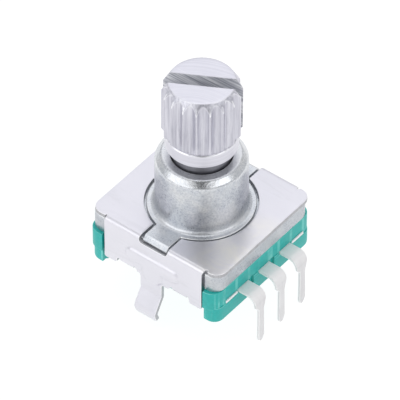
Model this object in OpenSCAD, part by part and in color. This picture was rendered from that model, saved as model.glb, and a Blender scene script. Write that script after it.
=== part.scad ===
// Incremental rotary encoder for through-hole boards: a folded steel frame
// clamps a die-cast bushing onto a moulded wafer with three terminals, and a
// serrated, slotted shaft turns the code plate inside. Units are millimetres.
// z = 0 is the underside of the wafer, which rests on the board. The origin
// is on the shaft's axis, the terminals leave towards -Y, and the snap-in
// legs are on the -X and +X sides.

/* [Frame] */
// Width over the two side plates
frame_w = 11.7; // [11.7:0.05:12.1]
// Length of the top plate
frame_l = 12.1; // [12.1:0.05:12.5]
// Thickness of the frame sheet
sheet_t = 0.35; // [0.3:0.01:0.38]
// Height of the frame's top above the board
frame_top = 4.8; // [4.8:0.1:5.6]
// Length of each side plate
side_l = 9.16; // [8.8:0.02:9.2]
// Outer radius of the fold along each side
fold_r = 0.45; // [0.42:0.01:0.5]
// Radius of the frame's central hole
frame_hole_r = 4.28; // [4.24:0.01:4.35]
// Width of each snap-in leg
leg_w = 2; // [1.8:0.05:2.4]
// Length of the raised rib on each side plate
rib_l = 5.2; // [4.6:0.1:5.6]
// Height of the raised rib
rib_h = 1.4; // [1:0.1:1.5]
// How far the rib stands out
rib_d = 0.2; // [0.1:0.02:0.24]

/* [Bushing] */
// Outer radius of the barrel
barrel_r = 3.5; // [3.4:0.05:3.6]
// Height of the barrel above the frame's top
barrel_h = 5; // [4.5:0.25:5.5]
// Chamfer at the barrel's mouth
barrel_chamfer = 0.5; // [0.3:0.05:0.7]
// Fillet where the barrel meets its flange
barrel_fillet = 0.4; // [0.3:0.05:0.45]
// Radius of the round flange inside the frame's hole
flange_r = 4.1; // [4.0:0.02:4.14]
// Radius of the bore for the shaft
bore_r = 2.3; // [2.29:0.01:2.34]
// Width of the two ears in the frame's notches
ear_w = 2.25; // [2:0.05:2.35]

/* [Shaft] */
// Outer diameter over the serration
shaft_d = 6; // [5.9:0.05:6]
// Number of serration teeth
teeth = 18; // [18, 20, 22]
// Depth of the flutes between the teeth
groove_d = 0.38; // [0.24:0.02:0.4]
// Height of the lead-in chamfer at the shaft's end
chamfer_h = 0.8; // [0.5:0.05:1]
// Height of the shaft's end above the frame's top
shaft_h = 12.2; // [12:0.25:15]
// Length of the serrated part
serration_l = 5; // [4.6:0.05:5.2]
// Diameter of the smooth ring under the serration
ring_d = 5.5; // [5.3:0.05:5.6]
// Width of the screwdriver slot
slot_w = 1.05; // [0.8:0.05:1.2]
// Depth of the screwdriver slot
slot_depth = 4.65; // [3:0.05:4.7]
// Direction of the slot at rest, in degrees from +X
slot_dir = -60; // [-180:20:180]
// Radius of the journal that runs in the bore
journal_r = 2.25; // [2.2:0.01:2.26]

/* [Wafer and terminals] */
// Width of the wafer at its corners
wafer_w = 11.84; // [11.8:0.02:12]
// Length of the wafer
wafer_l = 11.94; // [11.8:0.02:12]
// Corner radius of the wafer
wafer_corner = 1; // [0.8:0.05:1.2]
// Distance between neighbouring terminals
pitch = 2.5; // [2.4:0.05:2.6]
// Thickness of the terminal strip
term_t = 0.22; // [0.18:0.01:0.25]
// Width of a terminal where it leaves the wafer
term_w = 1.34; // [1.2:0.02:1.4]
// Width of a terminal's lower end
pin_w = 0.65; // [0.5:0.05:0.8]
// Distance from the shaft's axis to the outer face of the terminals
term_reach = 7.6; // [7.5:0.05:7.8]
// How far the terminals reach below the board face of the wafer
pin_len = 3.25; // [3:0.05:4]

/* [Mechanism] */
// Number of detents, and of code segments, in a turn
detents = 24; // [24]
// Radius at which the outer brushes touch the code plate
track_r = 3.4; // [3.3:0.05:3.5]
// Radius at which the common brush touches the code plate
common_r = 2.3; // [2.2:0.05:2.4]

/* [Hidden] */
$fn = 96;
e = 0.01;

plate_z0 = 2.9;                    // joint between wafer and bushing plate
plate_z1 = frame_top - sheet_t;    // underside of the frame's top
flange_z = frame_top - 0.05;       // top of the bushing's round flange
roof_z = 3.75;                     // roof of the cavity in the bushing
seam_z = 1.18;                     // parting line of the wafer
strip_z = 1.62;                    // upper face of the terminal strips
corner_x = frame_w / 2 - 0.23;     // half width of the frame's flat corners
back = 0.2;                        // casting and wafer reach this much further on the +Y side
ledge_z = 1.3;                     // wafer ledge that the crimp tabs grip
leg_y = 0.17;                      // centre of each snap-in leg
tab_y = 2.5;                       // centre of each crimp tab
tab_w = 1.2;                       // width of each crimp tab
low_z = 1.0;                       // lower edge of the side plates
notch_w = ear_w + 0.37;            // width of the frame's ear notches
notch_z = 4.22;                    // floor of those notches in the side plate
barrel_top = frame_top + barrel_h;
head_z0 = barrel_top + 1.0;        // underside of the shaft's head
shaft_top = frame_top + shaft_h;
serr_z0 = shaft_top - serration_l;
shaft_r = shaft_d / 2;
bend_r = 0.8;                      // outer radius of a terminal's bend
plate_t = 0.15;                    // thickness of the code plate
plate_z = 2.3;                     // underside of the code plate
disc_z = plate_z + plate_t;        // underside of the rotor's disc
crest_z = 3.4;                     // crests of the detent ring
quad = 93.75;                      // angle between the two outer brushes
finger_t = 0.1;

silver = [0.86, 0.86, 0.88];
zinc = [0.66, 0.69, 0.72];
alu = [0.82, 0.81, 0.86];
green = [0.2, 0.68, 0.62];
bronze = [0.82, 0.62, 0.36];

// rectangle with round corners, centred on the origin
module round_rect(w, l, r) {
    square([w - 2 * r, l], center = true);
    square([w, l - 2 * r], center = true);
    for (sx = [-1, 1], sy = [-1, 1])
        translate([sx * (w / 2 - r), sy * (l / 2 - r)]) circle(r);
}

// flat strip of thickness t that follows a list of points, in 2D
module strip2d(p, t) {
    for (i = [0 : len(p) - 2]) {
        d = p[i + 1] - p[i];
        translate(p[i]) rotate(atan2(d[1], d[0]))
            translate([0, -t / 2]) square([norm(d), t]);
    }
    for (i = [1 : len(p) - 2]) translate(p[i]) circle(t / 2, $fn = 48);
}

// stands a 2D outline drawn in (x, z) up and gives it width w along y
module along_y(w, y = 0) {
    translate([0, y + w / 2, 0]) rotate([90, 0, 0]) linear_extrude(w) children();
}

// stands a 2D outline drawn in (y, z) up and gives it width w along x
module along_x(w, x = 0) {
    translate([x - w / 2, 0, 0]) rotate([90, 0, 90]) linear_extrude(w) children();
}

// ---- frame -------------------------------------------------------------
// fold and side plate in cross-section, on the +X side
module side_profile() {
    h = frame_w / 2;
    translate([h - sheet_t, low_z]) square([sheet_t, frame_top - fold_r - low_z]);
    translate([h - fold_r, frame_top - fold_r]) difference() {
        intersection() {
            circle(fold_r);
            square(fold_r + 1);
        }
        circle(fold_r - sheet_t);
    }
    translate([h - fold_r - 0.3, plate_z1]) square([0.3, sheet_t]);
}

// one snap-in leg: straight, kinked outwards, then turned back in
module leg_profile() {
    x = frame_w / 2 - sheet_t / 2;
    strip2d([[x, low_z + 0.5], [x, -0.33], [x + 0.74, -1.55],
             [x + 0.76, -1.85], [x + 0.52, -2.45]], sheet_t);
}

module crimp_tab_profile() {
    h = frame_w / 2;
    translate([h - 0.4, ledge_z + 0.05]) difference() {
        intersection() {
            circle(0.4);
            translate([0, -1]) square([1, 1]);
        }
        circle(0.4 - sheet_t);
    }
    translate([h - sheet_t, ledge_z + 0.05]) square([sheet_t, 0.2]);
    translate([h - 1.15, ledge_z - sheet_t]) square([0.75, sheet_t]);
}

module side() {
    difference() {
        union() {
            along_y(side_l) side_profile();
            // deeper outer ends of the side plate's lower edge
            for (s = [-1, 1]) translate([frame_w / 2 - sheet_t,
                    s > 0 ? 3.1 : -side_l / 2, low_z - 0.2])
                cube([sheet_t, side_l / 2 - 3.1, 0.25]);
            // raised rib
            translate([frame_w / 2 - 0.1, 0, 2.65]) rotate([90, 0, 90])
                linear_extrude(rib_d + 0.1) round_rect(rib_l, rib_h, rib_h / 2 - 0.01);
        }
        // hollow behind the rib
        translate([frame_w / 2 - sheet_t - e, 0, 2.65]) rotate([90, 0, 90])
            linear_extrude(rib_d + e) round_rect(rib_l - 0.5, rib_h - 0.5, (rib_h - 0.5) / 2 - 0.01);
        // relief slits beside the crimp tabs
        for (s = [-1, 1], q = [-1, 1])
            translate([frame_w / 2 - sheet_t - 1, s * tab_y + q * (tab_w / 2 + 0.15) - 0.15, low_z - 1])
                cube([2, 0.3, 1.25]);
        // the side plate ends above each tab's bend
        for (s = [-1, 1]) translate([frame_w / 2 - sheet_t - 1, s * tab_y - tab_w / 2, low_z - 1])
            cube([2, tab_w, 1.4]);
    }
    for (s = [-1, 1]) along_y(tab_w, s * tab_y) crimp_tab_profile();
    along_y(leg_w, leg_y) leg_profile();
}

module frame() color(silver) difference() {
    union() {
        // flat top
        translate([0, 0, plate_z1]) linear_extrude(sheet_t) difference() {
            round_rect(2 * corner_x, frame_l, 0.9);
            for (s = [-1, 1]) translate([s * (frame_w / 2 - fold_r - 0.2 + 2), 0])
                square([4, side_l + 0.3], center = true);
        }
        side();
        mirror([1, 0, 0]) side();
    }
    // central hole
    translate([0, 0, plate_z1 - 1]) cylinder(r = frame_hole_r, h = 3);
    // notches for the bushing's ears
    translate([-frame_w, -notch_w / 2, notch_z + 0.3]) cube([2 * frame_w, notch_w, 2]);
    translate([-frame_w, -notch_w / 2 + 0.3, notch_z]) cube([2 * frame_w, notch_w - 0.6, 2]);
    for (s = [-1, 1]) translate([-frame_w, s * (notch_w / 2 - 0.3), notch_z + 0.3])
        rotate([0, 90, 0]) cylinder(r = 0.3, h = 2 * frame_w, $fn = 48);
}

// ---- bushing -----------------------------------------------------------
module bushing() color(zinc) difference() {
    union() {
        // base plate, drawn in behind the side plates
        translate([0, 0, plate_z0]) linear_extrude(plate_z1 - plate_z0) difference() {
            translate([0, (back + 0.05) / 2])
                round_rect(2 * corner_x - 0.02, frame_l - 0.31 + back, 0.88);
            for (s = [-1, 1]) translate([s * (frame_w / 2 - sheet_t - 0.02 + 2), 0])
                square([4, side_l + 0.28], center = true);
        }
        // round flange, fillet, barrel and mouth chamfer
        rotate_extrude() difference() {
            polygon([[0, plate_z1 - 0.5], [flange_r, plate_z1 - 0.5], [flange_r, flange_z],
                     [barrel_r + barrel_fillet, flange_z], [barrel_r, flange_z + barrel_fillet],
                     [barrel_r, barrel_top - barrel_chamfer],
                     [barrel_r - barrel_chamfer, barrel_top], [0, barrel_top]]);
            translate([barrel_r + barrel_fillet, flange_z + barrel_fillet]) circle(barrel_fillet);
        }
        // ears
        for (s = [0, 180]) rotate([0, 0, s]) along_y(ear_w)
            polygon([[3, plate_z1 - 0.3], [frame_w / 2 - 0.4, plate_z1 - 0.3],
                     [frame_w / 2 - 0.4, notch_z + 0.08], [frame_w / 2 - 0.24, notch_z + 0.13],
                     [frame_w / 2 - 0.24, notch_z + 0.23], [frame_w / 2 - 0.58, flange_z],
                     [3, flange_z]]);
    }
    // its upper edges are relieved under the frame's folds
    for (s = [-1, 1]) translate([s * (frame_w / 2 - fold_r + 0.99), 0, plate_z1 - fold_r + sheet_t])
        difference() {
            translate([-1, -side_l / 2 - 0.04, 0]) cube([2, side_l + 0.08, 1]);
            translate([-2, -ear_w / 2, -1]) cube([4, ear_w, 3]);
        }
    translate([0, 0, 0]) cylinder(r = bore_r, h = barrel_top + 1);
    // lead-in at the mouth of the bore
    translate([0, 0, barrel_top - 0.2]) cylinder(r1 = bore_r, r2 = bore_r + 0.21, h = 0.21);
    // cavity for the rotor
    difference() {
        translate([0, 0, plate_z0 - 1]) cylinder(r = 4.6, h = roof_z - plate_z0 + 1);
        // staking posts that hold the click spring
        for (s = [-1, 1]) translate([0, s * 3.75, 3.48]) cylinder(r = 0.35, h = 2, $fn = 48);
    }
}

// ---- click spring ------------------------------------------------------
module click_spring() color(bronze) {
    difference() {
        translate([0, 0, roof_z - 0.12]) difference() {
            cylinder(r = 4.4, h = 0.12);
            translate([0, 0, -1]) cylinder(r = 3.1, h = 3);
        }
        for (s = [-1, 1]) translate([0, s * 3.75, 3]) cylinder(r = 0.35, h = 2, $fn = 48);
    }
    // pressed noses that drop into the detents
    for (s = [0, 180]) rotate([0, 0, s]) difference() {
        translate([3.35, 0, 3.58]) rotate([0, 90, 0]) cylinder(r = 0.25, h = 0.8, $fn = 48);
        translate([3, -1, 3.64]) cube([2, 2, 1]);
    }
}

// ---- wafer -------------------------------------------------------------
// outline drawn in by d, and by f on the terminal side
module wafer_outline(d, f) {
    difference() {
        translate([0, (back - d + f) / 2])
            round_rect(wafer_w - 2 * d, wafer_l + back - d - f, wafer_corner - d);
        for (s = [-1, 1]) translate([s * (frame_w / 2 - sheet_t - 0.03 + 2), 0])
            square([4, side_l + 0.34], center = true);
    }
}

module wafer() color(green) difference() {
    union() {
        translate([0, 0, seam_z]) linear_extrude(plate_z0 - seam_z) wafer_outline(0, 0.08);
        translate([0, 0, 0.3]) linear_extrude(seam_z - 0.3) wafer_outline(0.13, 0);
        translate([0, 0, 0.12]) linear_extrude(0.18) wafer_outline(0.24, 0.1);
        linear_extrude(0.12) wafer_outline(0.42, 0.28);
        // the lower half rises to the strips on the terminal side
        translate([-4.78, -wafer_l / 2, seam_z - 0.3]) cube([9.56, 1, strip_z - seam_z + 0.3]);
    }
    // the underside is set back behind the side plates
    for (s = [-1, 1]) translate([s > 0 ? frame_w / 2 - 0.87 : -frame_w / 2 + 0.87 - 2, -side_l / 2 - 0.17, -1])
        cube([2, side_l + 0.34, 1.95]);
    // cavity
    translate([0, 0, strip_z]) cylinder(r = 4.85, h = 3);
    // hole for the shaft's pilot, and the recess under it
    translate([0, 0, 0.7]) cylinder(r = 1.26, h = 2);
    translate([0, 0, -e]) cylinder(r = 2.4, h = 0.3 + e);
    // pockets under the crimp tabs
    for (sx = [-1, 1], sy = [-1, 1])
        translate([sx > 0 ? 4.5 : -4.5 - 2, sy * tab_y - 0.8, -1]) cube([2, 1.6, 1.01 + ledge_z]);
    // seats of the moulded-in strips
    for (x = [-pitch, 0, pitch]) terminal_at(x);
    stub(-1);
    stub(1);
}

// ---- terminals ---------------------------------------------------------
// side view of a terminal, in (y, z)
module terminal_profile() {
    y1 = -term_reach + bend_r;
    translate([y1, strip_z - term_t]) square([-3.2 - y1, term_t]);
    translate([y1, strip_z - bend_r]) difference() {
        intersection() {
            circle(bend_r);
            translate([-2, 0]) square(2);
        }
        circle(bend_r - term_t);
    }
    translate([-term_reach, -pin_len]) square([term_t, strip_z - bend_r + pin_len]);
}

// front view of the bent-down part, in (x, z): a shoulder on one side only
module terminal_front() {
    polygon([[-term_w / 2, 3], [-term_w / 2, 1.15], [-0.56, 0.52], [-0.52, 0.45],
             [-pin_w / 2 + 0.1, 0.1], [-pin_w / 2 + 0.1, -pin_len + 0.35],
             [-0.08, -pin_len + 0.05], [0.04, -pin_len], [0.2, -pin_len + 0.04],
             [pin_w / 2 + 0.12, -pin_len + 0.45], [pin_w / 2 + 0.14, -pin_len + 0.6],
             [pin_w / 2 + 0.05, -0.1], [0.48, 0.38], [term_w / 2 - 0.04, 1.0],
             [term_w / 2, 1.3], [term_w / 2, 3]]);
}

module terminal_at(x) {
    intersection() {
        along_x(2, x) terminal_profile();
        translate([x, 0, 0]) union() {
            translate([0, -5, 0]) rotate([90, 0, 0]) linear_extrude(5) terminal_front();
            translate([-term_w / 2, -5.01, 1]) cube([term_w, 3, 1]);
        }
    }
}

module terminal_a() color(silver) terminal_at(-pitch);
module terminal_c() color(silver) terminal_at(0);
module terminal_b() color(silver) terminal_at(pitch);

// ---- brushes -----------------------------------------------------------
// twin-finger wiper on the inner end of a strip; y is where it touches
module brush_at(x, y) difference() {
    along_x(1.1, x) strip2d([[-3.7, strip_z + finger_t / 2], [-3.3, strip_z + finger_t / 2],
        [y - 0.12, plate_z - 0.02 - finger_t / 2 - 0.03], [y, plate_z - 0.02 - finger_t / 2],
        [y + 0.1, plate_z - 0.04 - finger_t / 2], [y + 0.22, plate_z - 0.14 - finger_t / 2]], finger_t);
    translate([x - 0.09, -3.28, strip_z - 1]) cube([0.18, 3, 3]);
}

module brush_a() color(bronze) brush_at(-pitch, -track_r * cos(quad / 2));
module brush_c() color(bronze) brush_at(0, -common_r);
module brush_b() color(bronze) brush_at(pitch, -track_r * cos(quad / 2));

// ---- cut-off ends of the lead frame in the terminal face ----------------
module stub(s) {
    x = pitch + term_w / 2 + (s < 0 ? 0.08 : 0.15);     // inner end
    translate([s < 0 ? -x - 1.4 : x, -wafer_l / 2 - 0.03, strip_z - term_t])
        cube([1.4, 0.9, term_t]);
}
module lead_stub_left() color(silver) stub(-1);
module lead_stub_right() color(silver) stub(1);

// ---- shaft -------------------------------------------------------------
// outline of the serration: narrow crests between broad hollow flutes
function serration() = [for (i = [0 : teeth - 1], k = [0 : 3])
    let (c = 180 / teeth * (1 + 2 * i), q = 360 / teeth,
         a = c + q * [-0.05, 0.05, 0.32, 0.68][k],
         r = k < 2 ? shaft_r : shaft_r - groove_d)
    [r * cos(a), r * sin(a)]];

module shaft() color(alu) difference() {
    union() {
        rotate_extrude() polygon([[0, 0.8], [1.1, 0.8], [1.2, 0.9], [1.2, 1.9], [0, 1.9]]);
        // double flat that drives the rotor
        translate([0, 0, 1.9]) linear_extrude(1.2) double_d();
        rotate_extrude() polygon([[0, 3.1], [2.7, 3.1], [2.7, 3.6], [journal_r, 3.6],
            [journal_r, head_z0], [ring_d / 2 - 0.12, head_z0], [ring_d / 2, head_z0 + 0.12],
            [ring_d / 2, serr_z0], [0, serr_z0]]);
        intersection() {
            translate([0, 0, serr_z0]) linear_extrude(serration_l) polygon(serration());
            rotate_extrude() polygon([[0, serr_z0], [ring_d / 2, serr_z0],
                [shaft_r + 0.01, serr_z0 + 0.2], [shaft_r + 0.01, shaft_top - chamfer_h],
                [shaft_r - 0.5, shaft_top], [0, shaft_top]]);
        }
    }
    rotate([0, 0, slot_dir]) translate([-5, -slot_w / 2, shaft_top - slot_depth])
        cube([10, slot_w, slot_depth + 1]);
}

module double_d() intersection() {
    circle(1.6);
    square([4, 2.5], center = true);
}

module thrust_washer() color(bronze) translate([0, 0, 3.6]) difference() {
    cylinder(r = 2.9, h = 0.13);
    translate([0, 0, -1]) cylinder(r = journal_r + 0.04, h = 3);
}

// ---- rotor -------------------------------------------------------------
module rotor() color([0.16, 0.16, 0.17]) difference() {
    rotate_extrude() polygon([[0, 2.2], [1.95, 2.2], [1.95, disc_z], [4.3, disc_z],
        [4.3, crest_z], [3.2, crest_z], [3.2, 3.05], [2.2, 3.05], [2.2, 3.1], [0, 3.1]]);
    translate([0, 0, 1]) linear_extrude(3) double_d();
    // detents
    for (i = [0 : detents - 1]) rotate([0, 0, 360 / detents * i])
        translate([3.1, 0, crest_z + 0.1]) rotate([0, 90, 0]) cylinder(r = 0.35, h = 1.4, $fn = 48);
}

module code_plate() color([0.85, 0.75, 0.5]) translate([0, 0, plate_z]) linear_extrude(plate_t)
    difference() {
        union() {
            circle(2.75);
            for (i = [0 : detents - 1]) rotate(360 / detents * i) intersection() {
                circle(4.15);
                polygon([[2, -2 * tan(90 / detents)], [5, -5 * tan(90 / detents)],
                         [5, 5 * tan(90 / detents)], [2, 2 * tan(90 / detents)]]);
            }
        }
        circle(1.95);
    }

frame();
bushing();
click_spring();
wafer();
terminal_a();
terminal_c();
terminal_b();
brush_a();
brush_c();
brush_b();
lead_stub_left();
lead_stub_right();
shaft();
thrust_washer();
rotor();
code_plate();
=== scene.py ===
import math

import bmesh
import bpy
from mathutils import Matrix, Vector
from mathutils.geometry import delaunay_2d_cdt


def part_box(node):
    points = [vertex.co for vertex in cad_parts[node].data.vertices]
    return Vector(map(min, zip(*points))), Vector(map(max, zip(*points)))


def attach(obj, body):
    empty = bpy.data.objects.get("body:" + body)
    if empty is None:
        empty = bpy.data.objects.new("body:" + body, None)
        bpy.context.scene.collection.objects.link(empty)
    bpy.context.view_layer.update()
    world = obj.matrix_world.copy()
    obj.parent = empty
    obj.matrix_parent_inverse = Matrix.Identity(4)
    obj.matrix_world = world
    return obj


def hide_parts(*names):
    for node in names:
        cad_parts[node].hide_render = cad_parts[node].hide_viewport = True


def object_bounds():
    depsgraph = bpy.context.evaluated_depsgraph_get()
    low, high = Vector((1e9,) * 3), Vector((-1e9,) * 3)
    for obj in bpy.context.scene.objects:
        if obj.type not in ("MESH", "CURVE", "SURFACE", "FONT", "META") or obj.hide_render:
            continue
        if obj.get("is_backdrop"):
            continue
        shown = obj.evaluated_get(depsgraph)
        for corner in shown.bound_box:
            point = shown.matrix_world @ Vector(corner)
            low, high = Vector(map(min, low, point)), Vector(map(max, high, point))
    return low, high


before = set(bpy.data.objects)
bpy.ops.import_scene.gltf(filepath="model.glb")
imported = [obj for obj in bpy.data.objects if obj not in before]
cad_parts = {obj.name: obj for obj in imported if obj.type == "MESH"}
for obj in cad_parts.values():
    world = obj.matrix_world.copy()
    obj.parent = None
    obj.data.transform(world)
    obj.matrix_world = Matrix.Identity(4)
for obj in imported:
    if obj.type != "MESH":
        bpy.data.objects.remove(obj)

CAD_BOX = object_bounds()
MM = 0.001

# ---------------------------------------------------------------- sizes, in mm, read from the CAD


def node_box(name):
    lo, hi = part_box(name)
    return [v / MM for v in lo], [v / MM for v in hi]


f_lo, f_hi = node_box("frame")
b_lo, b_hi = node_box("bushing")
s_lo, s_hi = node_box("shaft")
w_lo, w_hi = node_box("wafer")
t_lo, t_hi = node_box("terminal_c")

TOP = f_hi[2]                 # frame's top
HALF_L = f_hi[1]              # frame's half length
HALF_W = 5.85                 # outer face of the side plates
SHEET = 0.35
FOLD = 0.45
SIDE = 4.58                   # half length of a side plate
CORNER = HALF_W - 0.23
PLATE1 = TOP - SHEET
PLATE0 = w_hi[2]
FLANGE = TOP - 0.05
BARREL = b_hi[2]
SHAFT_TOP = s_hi[2]
PIN_LOW = t_lo[2]
REACH = -t_lo[1]
STRIP = 1.62
TERM_T = 0.22

# ---------------------------------------------------------------- mesh helpers


def lerp(a, b, t):
    return a + (b - a) * t


def smooth(t):
    t = min(1.0, max(0.0, t))
    return t * t * (3 - 2 * t)


def finish_mesh(name, verts, faces, angle=32.0, slots=None):
    me = bpy.data.meshes.new(name)
    me.from_pydata([(x * MM, y * MM, z * MM) for x, y, z in verts], [], faces)
    if slots:
        me.polygons.foreach_set("material_index", slots)
    me.validate()
    bm = bmesh.new()
    bm.from_mesh(me)
    bmesh.ops.remove_doubles(bm, verts=bm.verts, dist=2e-7)
    bmesh.ops.recalc_face_normals(bm, faces=bm.faces)
    bm.to_mesh(me)
    bm.free()
    me.shade_smooth()
    me.set_sharp_from_angle(angle=math.radians(angle))
    ob = bpy.data.objects.new(name, me)
    bpy.context.scene.collection.objects.link(ob)
    return ob


def area2(p):
    return sum(p[i - 1][0] * p[i][1] - p[i][0] * p[i - 1][1] for i in range(len(p))) / 2


def dense(p, step):
    """closed outline with no edge longer than step; step may be a function of the edge's middle"""
    out = []
    for i in range(len(p)):
        a, b = p[i], p[(i + 1) % len(p)]
        s = step((a[0] + b[0]) / 2, (a[1] + b[1]) / 2) if callable(step) else step
        d = math.dist(a, b)
        n = max(1, math.ceil(d / s - 1e-6))
        out += [(lerp(a[0], b[0], k / n), lerp(a[1], b[1], k / n)) for k in range(n)]
    return out


def clean(p):
    out = []
    for q in p:
        if not out or math.dist(out[-1], q) > 1e-5:
            out.append(q)
    if math.dist(out[0], out[-1]) < 1e-5:
        out.pop()
    return out


def inset(p, d):
    """moves an outline inwards by d (towards the material), by its corner bisectors"""
    n, out = len(p), []
    for i in range(n):
        a, b, c = p[i - 1], p[i], p[(i + 1) % n]
        e1 = (b[0] - a[0], b[1] - a[1])
        e2 = (c[0] - b[0], c[1] - b[1])
        l1, l2 = math.hypot(*e1), math.hypot(*e2)
        n1 = (-e1[1] / l1, e1[0] / l1)
        n2 = (-e2[1] / l2, e2[0] / l2)
        m = (n1[0] + n2[0], n1[1] + n2[1])
        ml = math.hypot(*m)
        if ml < 1e-6:
            out.append((b[0] + n1[0] * d, b[1] + n1[1] * d))
            continue
        m = (m[0] / ml, m[1] / ml)
        k = d / max(0.45, m[0] * n1[0] + m[1] * n1[1])
        out.append((b[0] + m[0] * k, b[1] + m[1] * k))
    return out


def inside(p, q):
    x, y, r = q[0], q[1], False
    j = len(p) - 1
    for i in range(len(p)):
        xi, yi, xj, yj = p[i][0], p[i][1], p[j][0], p[j][1]
        if (yi > y) != (yj > y) and x < (xj - xi) * (y - yi) / (yj - yi) + xi:
            r = not r
        j = i
    return r


def slab(name, outline, holes, t, r, place, step=0.3, grid=(), angle=32.0, rings=4, r_low=None, cut_edge=False):
    """A plate of thickness t with rounded rims of radius r. place(u, v, h) bends it into the model.

    With cut_edge the walls between the rims take the second material."""
    r_low = r if r_low is None else r_low
    loops = []
    for k, p in enumerate([outline] + list(holes)):
        p = clean(p)
        if (area2(p) > 0) != (k == 0):
            p = p[::-1]
        loops.append(dense(p, step))
    verts, faces = [], []
    caps = {}
    for side, rr in ((1, r), (-1, r_low)):
        cap = [inset(p, rr) for p in loops]
        pts, edges = [], []
        for p in cap:
            b = len(pts)
            pts += p
            edges += [(b + i, b + (i + 1) % len(p)) for i in range(len(p))]
        nb = len(pts)
        cell = {}
        for i, q in enumerate(pts):
            cell.setdefault((int(q[0] // 0.1), int(q[1] // 0.1)), []).append(q)
        for q in grid:
            if not inside(cap[0], q) or any(inside(c, q) for c in cap[1:]):
                continue
            cx, cy = int(q[0] // 0.1), int(q[1] // 0.1)
            near = [o for dx in (-1, 0, 1) for dy in (-1, 0, 1) for o in cell.get((cx + dx, cy + dy), [])]
            if near and min(math.dist(o, q) for o in near) < 0.035:
                continue
            pts.append(q)
        vo, _, fo, orig, _, _ = delaunay_2d_cdt([Vector(q) for q in pts], edges, [], 0, 1e-6, True)
        index = {}
        base = len(verts)
        for i, src in enumerate(orig):
            for s in src:
                index[s] = base + i
        h = side * t / 2
        verts += [place(q.x, q.y, h) for q in vo]
        for f in fo:
            c = [sum(vo[i][a] for i in f) / len(f) for a in (0, 1)]
            if inside(cap[0], c) and not any(inside(k, c) for k in cap[1:]):
                f = [base + i for i in f]
                faces.append(f if side > 0 else f[::-1])
        start, rim = 0, []
        for p, c in zip(loops, cap):
            ring = [[index[start + i] for i in range(len(p))]]
            for k in range(1, rings + 1):
                a = math.pi / 2 * k / rings
                s, w = math.sin(a), 1 - math.cos(a)
                row = []
                for (ox, oy), (ix, iy) in zip(p, c):
                    row.append(len(verts))
                    verts.append(place(lerp(ix, ox, s), lerp(iy, oy, s), side * (t / 2 - rr * w)))
                ring.append(row)
            rim.append(ring)
            start += len(p)
        caps[side] = rim
    slots = [0] * len(faces)
    for up, dn in zip(caps[1], caps[-1]):
        rows = up + dn[::-1]
        for level, (a, b) in enumerate(zip(rows, rows[1:])):
            n = len(a)
            for i in range(n):
                j = (i + 1) % n
                faces.append([a[i], b[i], b[j], a[j]])
                slots.append(1 if cut_edge and rings - 1 <= level <= rings + 1 else 0)
    return finish_mesh(name, verts, faces, angle, slots)


def lathe(name, profile, n=144, angle=32.0):
    """turns a closed (r, z) profile about Z"""
    verts, faces = [], []
    rings = []
    for r, z in profile:
        if r < 1e-6:
            rings.append([len(verts)])
            verts.append((0, 0, z))
        else:
            rings.append(list(range(len(verts), len(verts) + n)))
            verts += [(r * math.cos(2 * math.pi * k / n), r * math.sin(2 * math.pi * k / n), z) for k in range(n)]
    m = len(rings)
    for i in range(m):
        a, b = rings[i], rings[(i + 1) % m]
        if len(a) == 1 and len(b) == 1:
            continue
        for k in range(n):
            q = (k + 1) % n
            if len(a) == 1:
                faces.append([a[0], b[q], b[k]])
            elif len(b) == 1:
                faces.append([a[k], a[q], b[0]])
            else:
                faces.append([a[k], a[q], b[q], b[k]])
    return finish_mesh(name, verts, faces, angle)


def fillet(points, n=6):
    """(r, z, radius) corners of a profile, each rounded with its radius"""
    out, m = [], len(points)
    for i in range(m):
        r = points[i][2] if len(points[i]) > 2 else 0
        b = Vector(points[i][:2])
        if r <= 0:
            out.append(tuple(b))
            continue
        a, c = Vector(points[i - 1][:2]), Vector(points[(i + 1) % m][:2])
        u, v = (a - b).normalized(), (c - b).normalized()
        half = u.angle(v) / 2
        d = r / math.tan(half)
        centre = b + (u + v).normalized() * (r / math.sin(half))
        p, q = b + u * d - centre, b + v * d - centre
        for k in range(n + 1):
            t = k / n
            w = p.lerp(q, t)
            # spherical step keeps the points on the arc
            ang = p.angle(q)
            w = (p * math.sin((1 - t) * ang) + q * math.sin(t * ang)) / math.sin(ang)
            out.append(tuple(centre + w))
    return out


def round_rect(w, l, r, n=8):
    out = []
    for sx, sy, a0 in ((1, 1, 0), (-1, 1, 90), (-1, -1, 180), (1, -1, 270)):
        for k in range(n + 1):
            a = math.radians(a0 + 90 * k / n)
            out.append((sx * (w / 2 - r) + r * math.cos(a), sy * (l / 2 - r) + r * math.sin(a)))
    return out


def box_mesh(lo, hi, name="cut"):
    v = [(x, y, z) for x in (lo[0], hi[0]) for y in (lo[1], hi[1]) for z in (lo[2], hi[2])]
    f = [(0, 1, 3, 2), (4, 6, 7, 5), (0, 4, 5, 1), (2, 3, 7, 6), (0, 2, 6, 4), (1, 5, 7, 3)]
    return finish_mesh(name, v, f)


def boolean(ob, cutter, op="DIFFERENCE"):
    m = ob.modifiers.new("b", "BOOLEAN")
    m.operation, m.solver, m.object = op, "EXACT", cutter
    dg = bpy.context.evaluated_depsgraph_get()
    me = bpy.data.meshes.new_from_object(ob.evaluated_get(dg))
    old = ob.data
    ob.modifiers.clear()
    ob.data = me
    bpy.data.meshes.remove(old)
    gone = cutter.data
    bpy.data.objects.remove(cutter)
    bpy.data.meshes.remove(gone)
    return ob


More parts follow.
